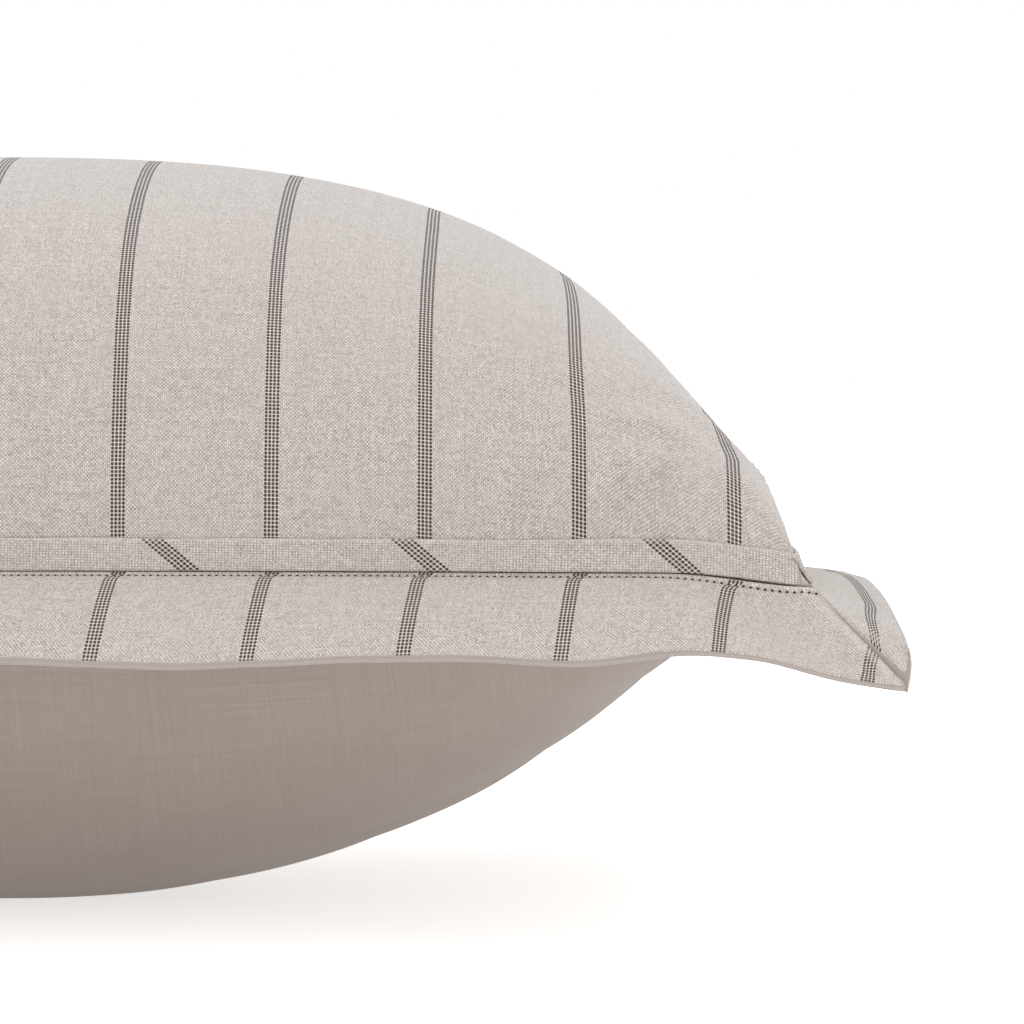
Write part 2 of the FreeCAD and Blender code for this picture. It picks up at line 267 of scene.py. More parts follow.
steps = np.linspace(-1, 1, CELLS + 1)
grid_a, grid_b = np.meshgrid(steps, steps, indexing="ij")
slack = cloth_slack(24)
FOLD_SHARE = 2.0          # the simulated cloth's small folds are strengthened this much
SWELL_SHARE = 0.1         # little of its general swelling is kept: the profiles give that


def settled(half_index):
    general = smoothed(slack[half_index], 30)
    return FOLD_SHARE * (smoothed(slack[half_index], 2) - general) + SWELL_SHARE * general


# soft creases of the front in one corner: its two ends (mm in from each of the corner's seams),
# its width and its depth
CREASES = (((52, 7), (66, 26), 3.4, 1.3), ((64, 6), (74, 20), 3.0, 0.9),
           ((40, 18), (86, 42), 5.0, 0.9), ((34, 36), (92, 74), 6.0, 0.8),
           ((58, 52), (112, 60), 5.5, 0.7), ((20, 30), (58, 92), 5.5, 0.8),
           ((8, 44), (30, 70), 3.6, 1.0), ((98, 10), (104, 30), 4.0, 0.7))
CREASE_STRENGTH = 1.7     # all of them are this many times deeper than listed


def crease_depth(a, b):
    """How deep the creases are at each place of the front, a little different in each corner."""
    total = 0 * a
    for corner, (sx, sy) in enumerate(((1, -1), (1, 1), (-1, 1), (-1, -1))):
        x, y = (1 - sx * a) * ARC, (1 - sy * b) * ARC
        if corner % 2:
            x, y = y, x
        for (x0, y0), (x1, y1), width, depth in CREASES:
            x0, x1 = (v * MM * (1 + 0.12 * corner) for v in (x0, x1))
            y0, y1 = (v * MM * (1 + 0.09 * corner) for v in (y0, y1))
            length = math.hypot(x1 - x0, y1 - y0)
            along = ((x - x0) * (x1 - x0) + (y - y0) * (y1 - y0)) / length ** 2
            bow = 0.12 * length * np.sin(np.clip(along, 0, 1) * math.pi)
            off = ((x - x0) * (y1 - y0) - (y - y0) * (x1 - x0)) / length + bow
            ends = ease(along, -0.15, 0.3) * (1 - ease(along, 0.6, 1.15))
            hollow = -depth * bell(off, 0, width * MM)
            swelling = 0.45 * depth * bell(off, 1.7 * width * MM, width * MM)
            total = total + (hollow + swelling) * ends
    return total


front_points = draped(grid_a, grid_b, HALF - PANEL_INSET, panel_low.z, CROWN_RISE, FRONT_PROFILE)
front_points = finer(front_points + settled(0))
fine_steps = np.linspace(-1, 1, 2 * CELLS + 1)
fine_a, fine_b = np.meshgrid(fine_steps, fine_steps, indexing="ij")
front_points = Skin(front_points, 1.0).at(
    fine_a, fine_b, CREASE_STRENGTH * crease_depth(fine_a, fine_b) * MM)
# the filling bulges out over the seam on either side of each corner
BULGE, BULGE_UP = 3.0 * MM, 22.0 * MM
for axis, (out, along) in enumerate(((fine_a, fine_b), (fine_b, fine_a))):
    from_seam = (1 - np.abs(out)) * ARC
    bulge = BULGE * bell(from_seam, BULGE_UP, 18 * MM) * bell(np.abs(along), 0.76, 0.2)
    front_points[..., axis] += np.sign(out) * bulge * ease(from_seam, 0.0, 12 * MM)
front_points[..., 2] = np.minimum(front_points[..., 2], cad_high.z + 4.0 * MM)
back_points = draped(grid_a, grid_b, HALF, BELLY_BASE, -BELLY_DROP, BACK_PROFILE)
back_points = finer(back_points + settled(1))
# long soft ridges of the belly, slanting away from its middle to either side
RIDGE = 0.9 * MM
ridges = [waver((fine_a + sign * fine_b) * 1.6, (fine_a - sign * fine_b) * 6.0, 60.0)
          for sign in (1, -1)]
ridges = np.where(fine_a > 0, ridges[0], ridges[1]) * ease(np.abs(fine_a), 0, 0.2) * RIDGE
back_points = Skin(back_points, -1.0).at(fine_a, fine_b, ridges * (1 - np.abs(fine_b) ** 6))
low = back_points[..., 2]
pressed = np.clip((low + PRESS) ** 2 / (4 * PRESS), 0, None)
back_points[..., 2] = np.where(low < PRESS, pressed, low)
back_points[..., 2] = np.where(low < -PRESS, 0.0, back_points[..., 2])
front = Skin(front_points, 1.0)
back = Skin(back_points, -1.0)


# ---- flange ---------------------------------------------------------------------------------
def turned(points, side):
    """The front side's points carried round to another side, a quarter turn each."""
    for _ in range(SIDES.index(side)):
        points = np.stack([-points[..., 1], points[..., 0], points[..., 2]], -1)
    return points


FLANGE_DROOP = {"front": 26.5 * MM, "right": 2.0 * MM, "back": 18.0 * MM, "left": 12.0 * MM}
FLANGE_BEND = {"front": 0.58, "right": 0.3, "back": 0.5, "left": 0.4}    # slope at the seam
CORNER_DROOP, CORNER_BEND = 29.0 * MM, 1.1
TIP_RADIUS = 12.0 * MM                    # the flange's corners are rounded off


def tip_shift(q, r):
    """How far the flange's corner is rounded off, along its side and in towards the body."""
    off = np.clip((1 - np.abs(q)) * (HALF + FLANGE_REACH) / TIP_RADIUS, 0, 1)
    turn = (1 - off) * math.pi / 4
    weight = TIP_RADIUS * r ** 5
    return np.sign(q) * weight * (np.sin(turn) - 1 + off), weight * (1 - np.cos(turn))


def flange_at(side, q, r, lift=0.0):
    """Place on the flange: q along its side from -1 to 1, r from the seam (0) to the hem (1)."""
    q, r = np.broadcast_arrays(np.asarray(q, float), np.asarray(r, float))
    reach = FLANGE_REACH - 3.5 * MM * ease(np.abs(q), 0.75, 0.97)
    x, y = in_plan(q, -1.0 + 0 * q, HALF + reach * r)
    shift_along, shift_in = tip_shift(q, r)
    x, y = x + shift_along, y + shift_in
    if side == "front":
        wide = ease(np.abs(q), 0.5, 1.0)
        lifted = 1.2 * bell(np.abs(q), 0.45, 0.2) + 10.0 * bell(np.abs(q), 0.8, 0.115)
    else:
        wide = 0.75 * np.clip((np.abs(q) - 0.72) / 0.28, 0, 1) ** 2
        wide = wide + 0.25 * np.clip((np.abs(q) - 0.94) / 0.06, 0, 1) ** 2
        lifted = -14.0 * ease(q, -0.45, 0.1) * (1 - wide) if side == "right" else 0.0
    droop = FLANGE_DROOP[side] * (1 - wide) + CORNER_DROOP * wide - lifted * MM
    bend = FLANGE_BEND[side] * (1 - wide) + CORNER_BEND * wide
    drop = droop * (bend * r + (1 - bend) * r * r)
    seed = 3.0 + 5 * SIDES.index(side)
    inner = 1 - ease(np.abs(q), 0.86, 0.98)
    sway = waver(q * 4.2, r * 0.6, seed) * 2.6 + waver(q * 11, r * 1.5, seed + 1) * 0.8
    sway = sway * MM * ease(r, 0.02, 0.9) * inner
    z = SEAM_Z - drop + sway - corner_sag(x, y)
    points = turned(np.stack([x, y + 0.35 * sway, z], -1), side)
    return points + np.stack([0 * z, 0 * z, z * 0 + lift], -1)


def flange_profile(q, r):
    """Height of the flange cloth's outer face over its plain shape: the turned seam's ridge,
    the dip that the topstitching pulls in, and the edge that rolls over at the hem."""
    run = r * FLANGE_CLOTH / MM
    ridge = 0.45 * bell(run, 0.8, 0.6) - 0.6 * bell(run, -0.2, 0.4)
    dip = -0.28 * bell(run, 2.2, 0.5) + 0.3 * bell(run, 5.0, 2.0)
    roll = -1.1 * ease(r, 0.972, 1.0) ** 2
    inside = ease(r, 0.0, 0.1) * (1 - ease(r, 0.8, 1.0))
    mitre = -0.9 * bell(np.abs(q), 1.0, 0.0045) * inside
    pinch = 0.5 * bell(np.abs(q), 0.98, 0.009) * inside
    return (ridge + dip + roll + mitre + pinch) * MM


STRIPE_SHIFT = {"front": -1.2 * MM, "right": 1.5 * MM, "back": 3.0 * MM, "left": -1.5 * MM}


def flange_cloth(side, q, r):
    """Place in the flat striped cloth that a flange strip is cut from; stripes run with Y."""
    out = HALF + FLANGE_CLOTH * r
    if side in ("front", "back"):
        flat = turned(np.stack([q * (HALF + 31 * MM * r), -out, 0 * q], -1), side)
        slant = 5.8 * MM * r - 2.0 * MM * bell(r * FLANGE_CLOTH, 0.0, 3.5 * MM)
    else:
        flat = turned(np.stack([q * out, -out, 0 * q], -1), side)
        slant = -7.0 * MM * np.sign(flat[..., 0]) * ease(1 - np.abs(q), 0.0, 0.16)
    return np.stack([flat[..., 0] - STRIPE_SHIFT[side] + slant, flat[..., 1]], -1)


# ---- making meshes --------------------------------------------------------------------------
def sheet_bm(columns, rows, place, cloth, ridge_highlight=None, face_up=True, span=((-1, 1), (-1, 1))):
    """A grid whose points go where place(s, t) says; cloth(s, t) is their place in the flat
    cloth, and ridge_highlight(s, t) how much painted highlight their folded edges and ridges get."""
    bm = bmesh.new()
    bmesh.ops.create_grid(bm, x_segments=columns, y_segments=rows, size=1.0)
    (s0, s1), (t0, t1) = span
    s = s0 + (s1 - s0) * (np.array([v.co.x for v in bm.verts]) + 1) / 2
    t = t0 + (t1 - t0) * (np.array([v.co.y for v in bm.verts]) + 1) / 2
    points, flat = place(s, t), cloth(s, t)
    highlit = np.zeros(len(s)) if ridge_highlight is None else ridge_highlight(s, t)
    uv = bm.loops.layers.uv.new("cloth")
    highlight_layer = bm.verts.layers.float.new("ridge_highlight")
    for v, p, w in zip(bm.verts, points, highlit):
        v.co, v[highlight_layer] = p, w
    bm.verts.index_update()
    for face in bm.faces:
        for loop in face.loops:
            loop[uv].uv = flat[loop.vert.index]
    if not face_up:
        bmesh.ops.reverse_faces(bm, faces=bm.faces)
    return bm


def joined(parts, merge=0.0):
    whole = bmesh.new()
    for part in parts:
        mesh = bpy.data.meshes.new("part")
        part.to_mesh(mesh)
        part.free()
        whole.from_mesh(mesh)
        bpy.data.meshes.remove(mesh)
    if merge:
        bmesh.ops.remove_doubles(whole, verts=whole.verts, dist=merge)
    return whole


def finished(bm, name, materials, nodes, thick=0.0, body="cushion", smooth=True):
    """Make the piece's object, give it its cloth thickness inwards, and join it to the frame."""
    mesh = bpy.data.meshes.new(name)
    bm.to_mesh(mesh)
    bm.free()
    for material in materials if isinstance(materials, (list, tuple)) else [materials]:
        mesh.materials.append(material)
    if smooth:
        mesh.shade_smooth()
    piece = bpy.data.objects.new(name, mesh)
    bpy.context.scene.collection.objects.link(piece)
    if thick:
        wall = piece.modifiers.new("cloth thickness", "SOLIDIFY")
        wall.thickness = thick
        wall.offset = -1.0
        wall.use_even_offset = False
    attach(piece, body)
    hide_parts(*nodes)
    return piece


# ---- shader building ------------------------------------------------------------------------
class Nodes:
    """Short ways to add shader nodes and wire them, in a material or a node group."""

    def __init__(self, tree):
        self.tree = tree

    def add(self, kind, *inputs, **settings):
        node = self.tree.nodes.new("ShaderNode" + kind)
        for name, value in settings.items():
            setattr(node, name, value)
        for socket, value in zip(node.inputs, inputs):
            self.put(socket, value)
        return node

    def put(self, socket, value):
        if value is None:
            return
        if isinstance(value, bpy.types.NodeSocket):
            self.tree.links.new(value, socket)
        else:
            socket.default_value = value

    def math(self, operation, *values, clamp=False):
        return self.add("Math", *values, operation=operation, use_clamp=clamp).outputs[0]

    def blend(self, factor, a, b):
        """Number a where factor is 0 and b where it is 1."""
        return self.add("Mix", factor, None, a, b, data_type="FLOAT").outputs[0]

    def tint(self, factor, a, b, way="MIX"):
        node = self.add("Mix", data_type="RGBA", blend_type=way)
        for name, value in (("Factor_Float", factor), ("A_Color", a), ("B_Color", b)):
            self.put(next(s for s in node.inputs if s.identifier == name), value)
        return next(s for s in node.outputs if s.identifier == "Result_Color")

    def noise(self, vector, scale, detail=2.0, rough=0.5):
        return self.add("TexNoise", vector, None, scale, detail, rough).outputs[0]

    def band(self, value, low, high, to_low=0.0, to_high=1.0):
        node = self.add("MapRange", value, low, high, to_low, to_high)
        node.interpolation_type = "SMOOTHSTEP"
        return node.outputs[0]

    def xyz(self, vector):
        return self.add("SeparateXYZ", vector).outputs

    def joined(self, x, y, z=0.0):
        return self.add("CombineXYZ", x, y, z).outputs[0]

    def scaled(self, vector, factors):
        return self.add("VectorMath", vector, factors, operation="MULTIPLY").outputs[0]


def colour(r, g, b):
    """Linear colour from 0 to 255 display values."""
    def linear(c):
        c = c / 255
        return c / 12.92 if c <= 0.04045 else ((c + 0.055) / 1.055) ** 2.4
    return (linear(r), linear(g), linear(b), 1.0)


def new_group(name, inputs, outputs):
    tree = bpy.data.node_groups.new(name, "ShaderNodeTree")
    for socket, kind, value in inputs:
        made = tree.interface.new_socket(socket, in_out="INPUT", socket_type="NodeSocket" + kind)
        if value is not None:
            made.default_value = value
    for socket, kind in outputs:
        tree.interface.new_socket(socket, in_out="OUTPUT", socket_type="NodeSocket" + kind)
    n = Nodes(tree)
    given = tree.nodes.new("NodeGroupInput").outputs
    result = tree.nodes.new("NodeGroupOutput").inputs
    return tree, n, given, result


def weave_group():
    """Plain weave of uneven yarns: which yarn is on top, its number, its shade and its height."""
    tree, n, given, result = new_group(
        "plain weave",
        [("Cloth", "Vector", None), ("Warp Pitch", "Float", 0.0006),
         ("Weft Pitch", "Float", 0.0006), ("Waver", "Float", 0.15),
         ("Slub Length", "Float", 0.012)],
        [("Warp On Top", "Float"), ("Warp Place", "Float"), ("Shade", "Float"),
         ("Gap", "Float"), ("Height", "Float"), ("Weft Place", "Float"), ("Grain", "Float")])
    cloth, warp_pitch, weft_pitch, waver_share, slub_length = (given[i] for i in range(5))
    x, y, _ = n.xyz(cloth)
    drift = n.add("TexNoise", cloth, None, 140.0, 2.0, 0.5).outputs[1]
    drift_x, drift_y, _ = n.xyz(drift)
    warp = n.math("ADD", n.math("DIVIDE", x, warp_pitch), 0.5)
    warp = n.math("MULTIPLY_ADD", n.math("SUBTRACT", drift_x, 0.5), waver_share, warp)
    weft = n.math("DIVIDE", y, weft_pitch)
    weft = n.math("MULTIPLY_ADD", n.math("SUBTRACT", drift_y, 0.5), waver_share, weft)
    i, j = n.math("FLOOR", warp), n.math("FLOOR", weft)
    parity = n.math("FLOORED_MODULO", n.math("ADD", i, j), 2.0)
    on_top = n.math("LESS_THAN", parity, 0.5)

    def round_over(place):
        """1 along a yarn's middle and 0 at its edges."""
        side = n.math("MULTIPLY_ADD", n.math("FRACT", place), 2.0, -1.0)
        return n.math("SUBTRACT", 1.0, n.math("MULTIPLY", side, side))

    over_warp, over_weft = round_over(warp), round_over(weft)
    warp_up = n.math("MULTIPLY", over_warp, n.math("MULTIPLY_ADD", over_weft, 0.55, 0.45))
    weft_up = n.math("MULTIPLY", over_weft, n.math("MULTIPLY_ADD", over_warp, 0.55, 0.45))
    height = n.blend(on_top, weft_up, warp_up)

    def yarn_shade(number, along, seed):
        own = n.add("TexWhiteNoise", None, n.math("ADD", number, seed),
                    noise_dimensions="1D").outputs[0]
        run = n.math("DIVIDE", along, slub_length)
        streak = n.add("TexNoise", n.joined(run, n.math("MULTIPLY", number, 3.7), seed), None, 1.0,
                       3.0, 0.6).outputs[0]
        streak = n.band(streak, 0.3, 0.7)
        return n.math("ADD", n.math("MULTIPLY", own, 0.35), n.math("MULTIPLY", streak, 0.65))

    shade = n.blend(on_top, yarn_shade(j, x, 11.3), yarn_shade(i, y, 47.9))
    n.put(result[0], on_top)
    n.put(result[1], warp)
    n.put(result[2], shade)
    # Gap: 1 where the yarns sink between each other; the materials paint shade there with it
    n.put(result[3], n.band(height, 0.05, 0.42, 1.0, 0.0))
    n.put(result[4], height)
    n.put(result[5], weft)
    n.put(result[6], n.add("TexWhiteNoise", n.joined(i, j, 5.0)).outputs[0])
    return tree


def fleck_group():
    """Sparse long flecks of straw and dark fibre lying along the yarns both ways."""
    tree, n, given, result = new_group(
        "fibre flecks", [("Cloth", "Vector", None), ("Rarity", "Float", 0.7)],
        [("Fleck", "Float"), ("Kind", "Float")])
    masks = []
    for along, across in ((1300.0, 130.0), (110.0, 1500.0)):
        seen = n.noise(n.scaled(given[0], (along, across, 1.0)), 1.0, 1.0, 0.4)
        masks.append(n.band(seen, given[1], n.math("ADD", given[1], 0.06)))
    n.put(result[0], n.math("MAXIMUM", *masks))
    n.put(result[1], n.noise(given[0], 350.0, 0.0))
    return tree


WEAVE = weave_group()
FLECKS = fleck_group()


def material(name, sheen=0.0, sheen_rough=0.5):
    made = bpy.data.materials.new(name)
    made.use_nodes = True
    n = Nodes(made.node_tree)
    shader = made.node_tree.nodes["Principled BSDF"]
    shader.inputs["Sheen Weight"].default_value = sheen
    shader.inputs["Sheen Roughness"].default_value = sheen_rough
    return made, n, shader.inputs


def placed_group(n, tree, **inputs):
    node = n.add("Group")
    node.node_tree = tree
    for name, value in inputs.items():
        n.put(node.inputs[name.replace("_", " ")], value)
    return node.outputs


def bumped(n, surface, height, distance, strength=1.0):
    bump = n.add("Bump")
    bump.inputs["Strength"].default_value = strength
    bump.inputs["Distance"].default_value = distance
    n.put(bump.inputs["Height"], height)
    n.put(surface["Normal"], bump.outputs[0])


DOT_WIDE, DOT_LONG = 0.7, 0.8            # half of a dark crossing's size, in yarns


def striped_linen():
    """Heathered oatmeal linen in plain weave, with stripes of four dark warp yarns."""
    made, n, surface = material("striped_linen")
    cloth = n.add("UVMap", uv_map="cloth").outputs[0]
    warp_pitch = STRIPE_PITCH / WARPS_PER_STRIPE
    weave = placed_group(n, WEAVE, Cloth=cloth, Warp_Pitch=warp_pitch, Weft_Pitch=WEFT_PITCH,
                         Waver=0.35, Slub_Length=0.005)
    on_top, warp, shade, gap, height, weft, grain = (weave[i] for i in range(7))
    # warp yarns counted from their stripe's middle, -40 to 40; the odd ones out to 3 are dark
    half_stripe = WARPS_PER_STRIPE / 2
    count = n.math("ADD", warp, half_stripe - 0.5)
    count = n.math("FLOORED_MODULO", count, float(WARPS_PER_STRIPE))
    count = n.math("SUBTRACT", count, half_stripe)
    in_stripe = n.math("LESS_THAN", n.math("ABSOLUTE", count), 4.0)
    # a dark yarn bulges where it crosses over a weft: an oval a little bigger than the crossing
    off_warp = n.math("PINGPONG", n.math("ADD", count, 1.0), 1.0)
    off_weft = n.math("PINGPONG", n.math("ADD", weft, 0.5), 1.0)
    off = n.math("ADD", n.math("POWER", n.math("DIVIDE", off_warp, DOT_WIDE), 2.6),
                 n.math("POWER", n.math("DIVIDE", off_weft, DOT_LONG), 2.6))
    dark_yarn = n.math("MULTIPLY", in_stripe, n.band(off, 0.72, 1.3, 1.0, 0.0))
    cloudy = n.noise(cloth, 38.0, 4.0, 0.6)
    tone = n.math("ADD", n.math("MULTIPLY", shade, 0.45), n.math("MULTIPLY", grain, 0.55))
    warps = n.tint(tone, colour(184, 172, 164), colour(244, 237, 231))
    wefts = n.tint(tone, colour(142, 128, 118), colour(212, 201, 193))
    pale = n.tint(on_top, wefts, warps)
    pale = n.tint(n.band(cloudy, 0.3, 0.7, 0.0, 0.25), pale, colour(204, 194, 186))
    flecks = placed_group(n, FLECKS, Cloth=cloth, Rarity=0.74)
    straw = n.tint(n.band(flecks[1], 0.4, 0.6), colour(176, 148, 118), colour(140, 128, 118))
    pale = n.tint(n.math("MULTIPLY", flecks[0], 0.7), pale, straw)
    pale = n.tint(n.math("MULTIPLY", in_stripe, 0.4), pale, colour(206, 197, 190))
    dark = n.tint(shade, colour(46, 37, 36), colour(84, 71, 69))
    yarn = n.tint(dark_yarn, pale, dark)
    # painted shade: darker where the yarns dip into the gaps between them
    shaded = n.tint(n.math("MULTIPLY", gap, 0.62), yarn, colour(96, 82, 73))
    # painted highlight: folded edges, seam ridges, mitres and hem lightened as if catching the
    # light
    ridge_highlight = n.add("Attribute", attribute_name="ridge_highlight").outputs[2]
    highlighted = n.tint(n.math("MULTIPLY", ridge_highlight, 0.35), shaded, colour(228, 220, 211))
    n.put(surface["Base Color"], highlighted)
    n.put(surface["Roughness"], n.blend(shade, 0.92, 0.8))
    n.put(surface["Sheen Weight"], n.blend(dark_yarn, 0.5, 0.0))
    bumped(n, surface, height, 0.16 * MM, 0.7)
    return made


def plain_backing():
    """Smooth greige cotton sateen: fine close yarns and a faint cloudiness."""
    made, n, surface = material("plain_backing", sheen=0.15, sheen_rough=0.35)
    cloth = n.add("UVMap", uv_map="cloth").outputs[0]
    weave = placed_group(n, WEAVE, Cloth=cloth, Warp_Pitch=0.26 * MM, Weft_Pitch=0.34 * MM,
                         Waver=0.3, Slub_Length=0.03)
    base = n.tint(weave[2], colour(158, 145, 137), colour(180, 167, 158))
    # painted shade in the gaps between the yarns
    base = n.tint(n.math("MULTIPLY", weave[3], 0.2), base, colour(120, 106, 97))
    cloudy = n.noise(cloth, 22.0, 4.0, 0.55)
    base = n.tint(n.band(cloudy, 0.3, 0.7, 0.0, 0.25), base, colour(160, 146, 137))
    # painted highlight along the rolled hem of the margins
    ridge_highlight = n.add("Attribute", attribute_name="ridge_highlight").outputs[2]
    n.put(surface["Base Color"], n.tint(n.math("MULTIPLY", ridge_highlight, 0.3), base, colour(205, 195, 188)))
    n.put(surface["Roughness"], n.band(cloudy, 0.2, 0.8, 0.62, 0.74))
    bumped(n, surface, weave[4], 0.05 * MM, 0.5)
    return made


def plain_weave_cloth(name, light, dark, warp_pitch, weft_pitch):
    made, n, surface = material(name, sheen=0.1)
    cloth = n.add("UVMap", uv_map="cloth").outputs[0]
    weave = placed_group(n, WEAVE, Cloth=cloth, Warp_Pitch=warp_pitch, Weft_Pitch=weft_pitch,
                         Waver=0.2, Slub_Length=0.02)
    base = n.tint(weave[2], dark, light)
    # painted shade in the gaps between the yarns
    n.put(surface["Base Color"], n.tint(n.math("MULTIPLY", weave[3], 0.3), base, dark))
    n.put(surface["Roughness"], n.blend(weave[2], 0.9, 0.78))
    bumped(n, surface, weave[4], 0.08 * MM, 0.6)
    return made


def thread_material(name, light, dark):
    """Twisted sewing thread: fine slanted plies across each stitch."""
    made, n, surface = material(name, sheen=0.2)
    place = n.add("TexCoord").outputs["Object"]
    x, y, z = n.xyz(place)
    turn = n.math("MULTIPLY", n.math("ADD", n.math("ADD", x, y), z), 9000.0)
    ply = n.math("MULTIPLY_ADD", n.math("SINE", turn), 0.5, 0.5)
    fuzz = n.noise(place, 2500.0, 2.0)
    n.put(surface["Base Color"], n.tint(n.blend(0.35, ply, fuzz), dark, light))
    n.put(surface["Roughness"], n.blend(fuzz, 0.7, 0.9))
    bumped(n, surface, ply, 0.05 * MM, 0.6)
    return made


def hole_shadow_material():
    # dark discs of painted shadow standing in for the dents of the needle holes
    made, n, surface = material("needle_hole_shadow")
    place = n.add("TexCoord").outputs["Object"]
    n.put(surface["Base Color"],
          n.tint(n.noise(place, 1500.0), colour(40, 31, 27), colour(66, 54, 48)))
    surface["Roughness"].default_value = 0.95
    return made


def fibre_material():
    """Loose polyester fibre: fine white strands in soft clumps."""
    made, n, surface = material("fibre_filling", sheen=0.3)
    place = n.add("TexCoord").outputs["Object"]
    strands = n.noise(n.scaled(place, (900.0, 260.0, 600.0)), 1.0, 5.0, 0.7)
    clump = n.noise(place, 45.0, 3.0)
    tone = n.blend(0.5, strands, clump)
    n.put(surface["Base Color"], n.tint(n.band(tone, 0.3, 0.7), colour(216, 214, 210),
                                        colour(244, 243, 241)))
    n.put(surface["Roughness"], n.band(strands, 0.2, 0.8, 0.8, 0.95))
    bumped(n, surface, tone, 1.2 * MM, 0.6)
    return made


def zip_tape_material():
    """Narrow woven tape in a fine herringbone, running along the zip."""
    made, n, surface = material("zip_tape_cloth", sheen=0.1)
    place = n.add("TexCoord").outputs["Object"]
    x, y, z = n.xyz(place)
    across = n.math("MULTIPLY", n.math("SUBTRACT", y, z), 900.0)
    chevron = n.math("PINGPONG", across, 1.0)
    twill = n.math("SINE", n.math("MULTIPLY_ADD", x, 9000.0, n.math("MULTIPLY", chevron, 6.0)))
    rib = n.math("MULTIPLY_ADD", twill, 0.5, 0.5)
    fuzz = n.noise(place, 1800.0, 2.0)
    n.put(surface["Base Color"], n.tint(n.blend(0.4, rib, fuzz), colour(150, 137, 127),
                                        colour(186, 174, 164)))
    n.put(surface["Roughness"], n.blend(fuzz, 0.75, 0.92))
    bumped(n, surface, rib, 0.12 * MM, 0.7)
    return made


def nylon_material():
    made, n, surface = material("zip_nylon")
    place = n.add("TexCoord").outputs["Object"]
    grain = n.noise(place, 900.0, 3.0)
    n.put(surface["Base Color"], n.tint(grain, colour(152, 139, 128), colour(184, 172, 161)))
    n.put(surface["Roughness"], n.band(grain, 0.3, 0.7, 0.3, 0.46))
    bumped(n, surface, grain, 0.02 * MM, 0.4)
    return made


def metal_material():
    """Tumbled, lightly brushed nickel-coloured metal with duller, darker hollows."""
    made, n, surface = material("zip_metal")
    place = n.add("TexCoord").outputs["Object"]
    brush = n.noise(n.scaled(place, (300.0, 4200.0, 4200.0)), 1.0, 3.0, 0.6)
    spots = n.noise(place, 420.0, 4.0, 0.6)
    n.put(surface["Base Color"], n.tint(n.band(spots, 0.35, 0.7), colour(150, 146, 140),
                                        colour(196, 192, 186)))
    n.put(surface["Roughness"], n.band(brush, 0.3, 0.7, 0.24, 0.42))
    surface["Metallic"].default_value = 1.0
    bumped(n, surface, brush, 0.02 * MM, 0.4)
    return made


LINEN = striped_linen()
BACKING = plain_backing()
THREAD = thread_material("thread", colour(214, 204, 192), colour(168, 154, 140))
HOLE_SHADOW = hole_shadow_material()
LABEL = plain_weave_cloth("label_cloth", colour(240, 238, 232), colour(214, 210, 202),
                          0.2 * MM, 0.2 * MM)
CASING = plain_weave_cloth("casing_cloth", colour(240, 239, 236), colour(206, 204, 200),
                           0.3 * MM, 0.3 * MM)
FIBRE = fibre_material()
TAPE = zip_tape_material()
NYLON = nylon_material()
METAL = metal_material()


# ---- cover ----------------------------------------------------------------------------------
def lengths_from_middle(points):
    """How far each point of a table is from the middle one of its row, along the row."""
    steps_along = np.linalg.norm(np.diff(points, axis=0), axis=-1)
    run = np.concatenate([np.zeros((1, points.shape[1])), np.cumsum(steps_along, axis=0)])
    return run - run[len(run) // 2]


front_lengths = np.stack([lengths_from_middle(front.points),
                          lengths_from_middle(front.points.swapaxes(0, 1)).T], -1)


def panel_cloth(a, b):
    """Place in the flat striped cloth of the panel, whose stripes run from front to back."""
    flat = front.look_up(front_lengths, a, b)
    points = front.at(a, b)
    x, y = points[..., 0], points[..., 1]
    lean = 1.9 * MM * np.clip(1 - (x / (165 * MM)) ** 2, 0, 1) * ease(y, -215 * MM, -30 * MM)
    steep = 4.1 * MM * (np.abs(x) / (180 * MM)) ** 7.6
    straight = x + np.sign(x) * steep * np.clip(1 - (y / (HALF - SIDE_PULL)) ** 2, 0, 1) - lean
    by_sides = ease(np.abs(b), 0.35, 0.75)
    across = straight * by_sides + (0.985 * flat[..., 0] - lean) * (1 - by_sides)
    return np.stack([across, flat[..., 1]], -1)


def make_front_panel():
    bm = sheet_bm(2 * CELLS, 2 * CELLS, front.at, panel_cloth)
    return finished(bm, "front_panel_cloth", LINEN, ["front_panel"], CLOTH)


def quarter_turned(a, b, side):
    for _ in range(SIDES.index(side)):
        a, b = -b, a
    return a, b


def step_up(a, reach, side):
    """Step b on the front's line a, a distance reach up the cloth from a side's seam."""
    tried = -1 + np.linspace(0, 0.12, 61)
    line_a, line_b = np.meshgrid(a, tried, indexing="ij")
    points = front.at(*quarter_turned(line_a, line_b, side))
    run = np.cumsum(np.linalg.norm(np.diff(points, axis=1), axis=-1), axis=1)
    run = np.concatenate([np.zeros((len(run), 1)), run], axis=1)
    return np.array([np.interp(w, row, tried) for w, row in zip(reach, run)])


def band_place(side):
    """Placing function of one strip of the inner band: s along it, t from the seam (-1) to its
    folded free edge (1)."""
    seed = 40.0 + 7 * SIDES.index(side)
    step = BAND_SHOWN / ARC
    runs_through = side in ("left", "right")

    def place(s, t):
        share = (t + 1) / 2
        wander = 0.5 * MM * waver(s * 7, 0.0, seed) * ease(share, 0.4, 1.0)
        along = s * (0.984 if runs_through else 1 - 0.45 * step)
        a, b = quarter_turned(along, step_up(along, BAND_SHOWN * share + wander, side), side)
        puff = 0.3 * waver(s * 13, t * 0.8, seed + 2) * bell(share, 0.6, 0.4)
        edge = -0.55 * ease(share, 0.93, 1.0) ** 2 + 0.15 * bell(share, 0.9, 0.07)
        tucked = 0.0 if runs_through else 0.7 * ease(np.abs(s), 0.965, 0.99)
        return front.at(a, b, (1.3 + puff + edge - tucked) * MM)
    return place


BAND_SLIP = {"front": -7.0 * MM, "right": 21.0 * MM, "back": -9.0 * MM, "left": 4.0 * MM}


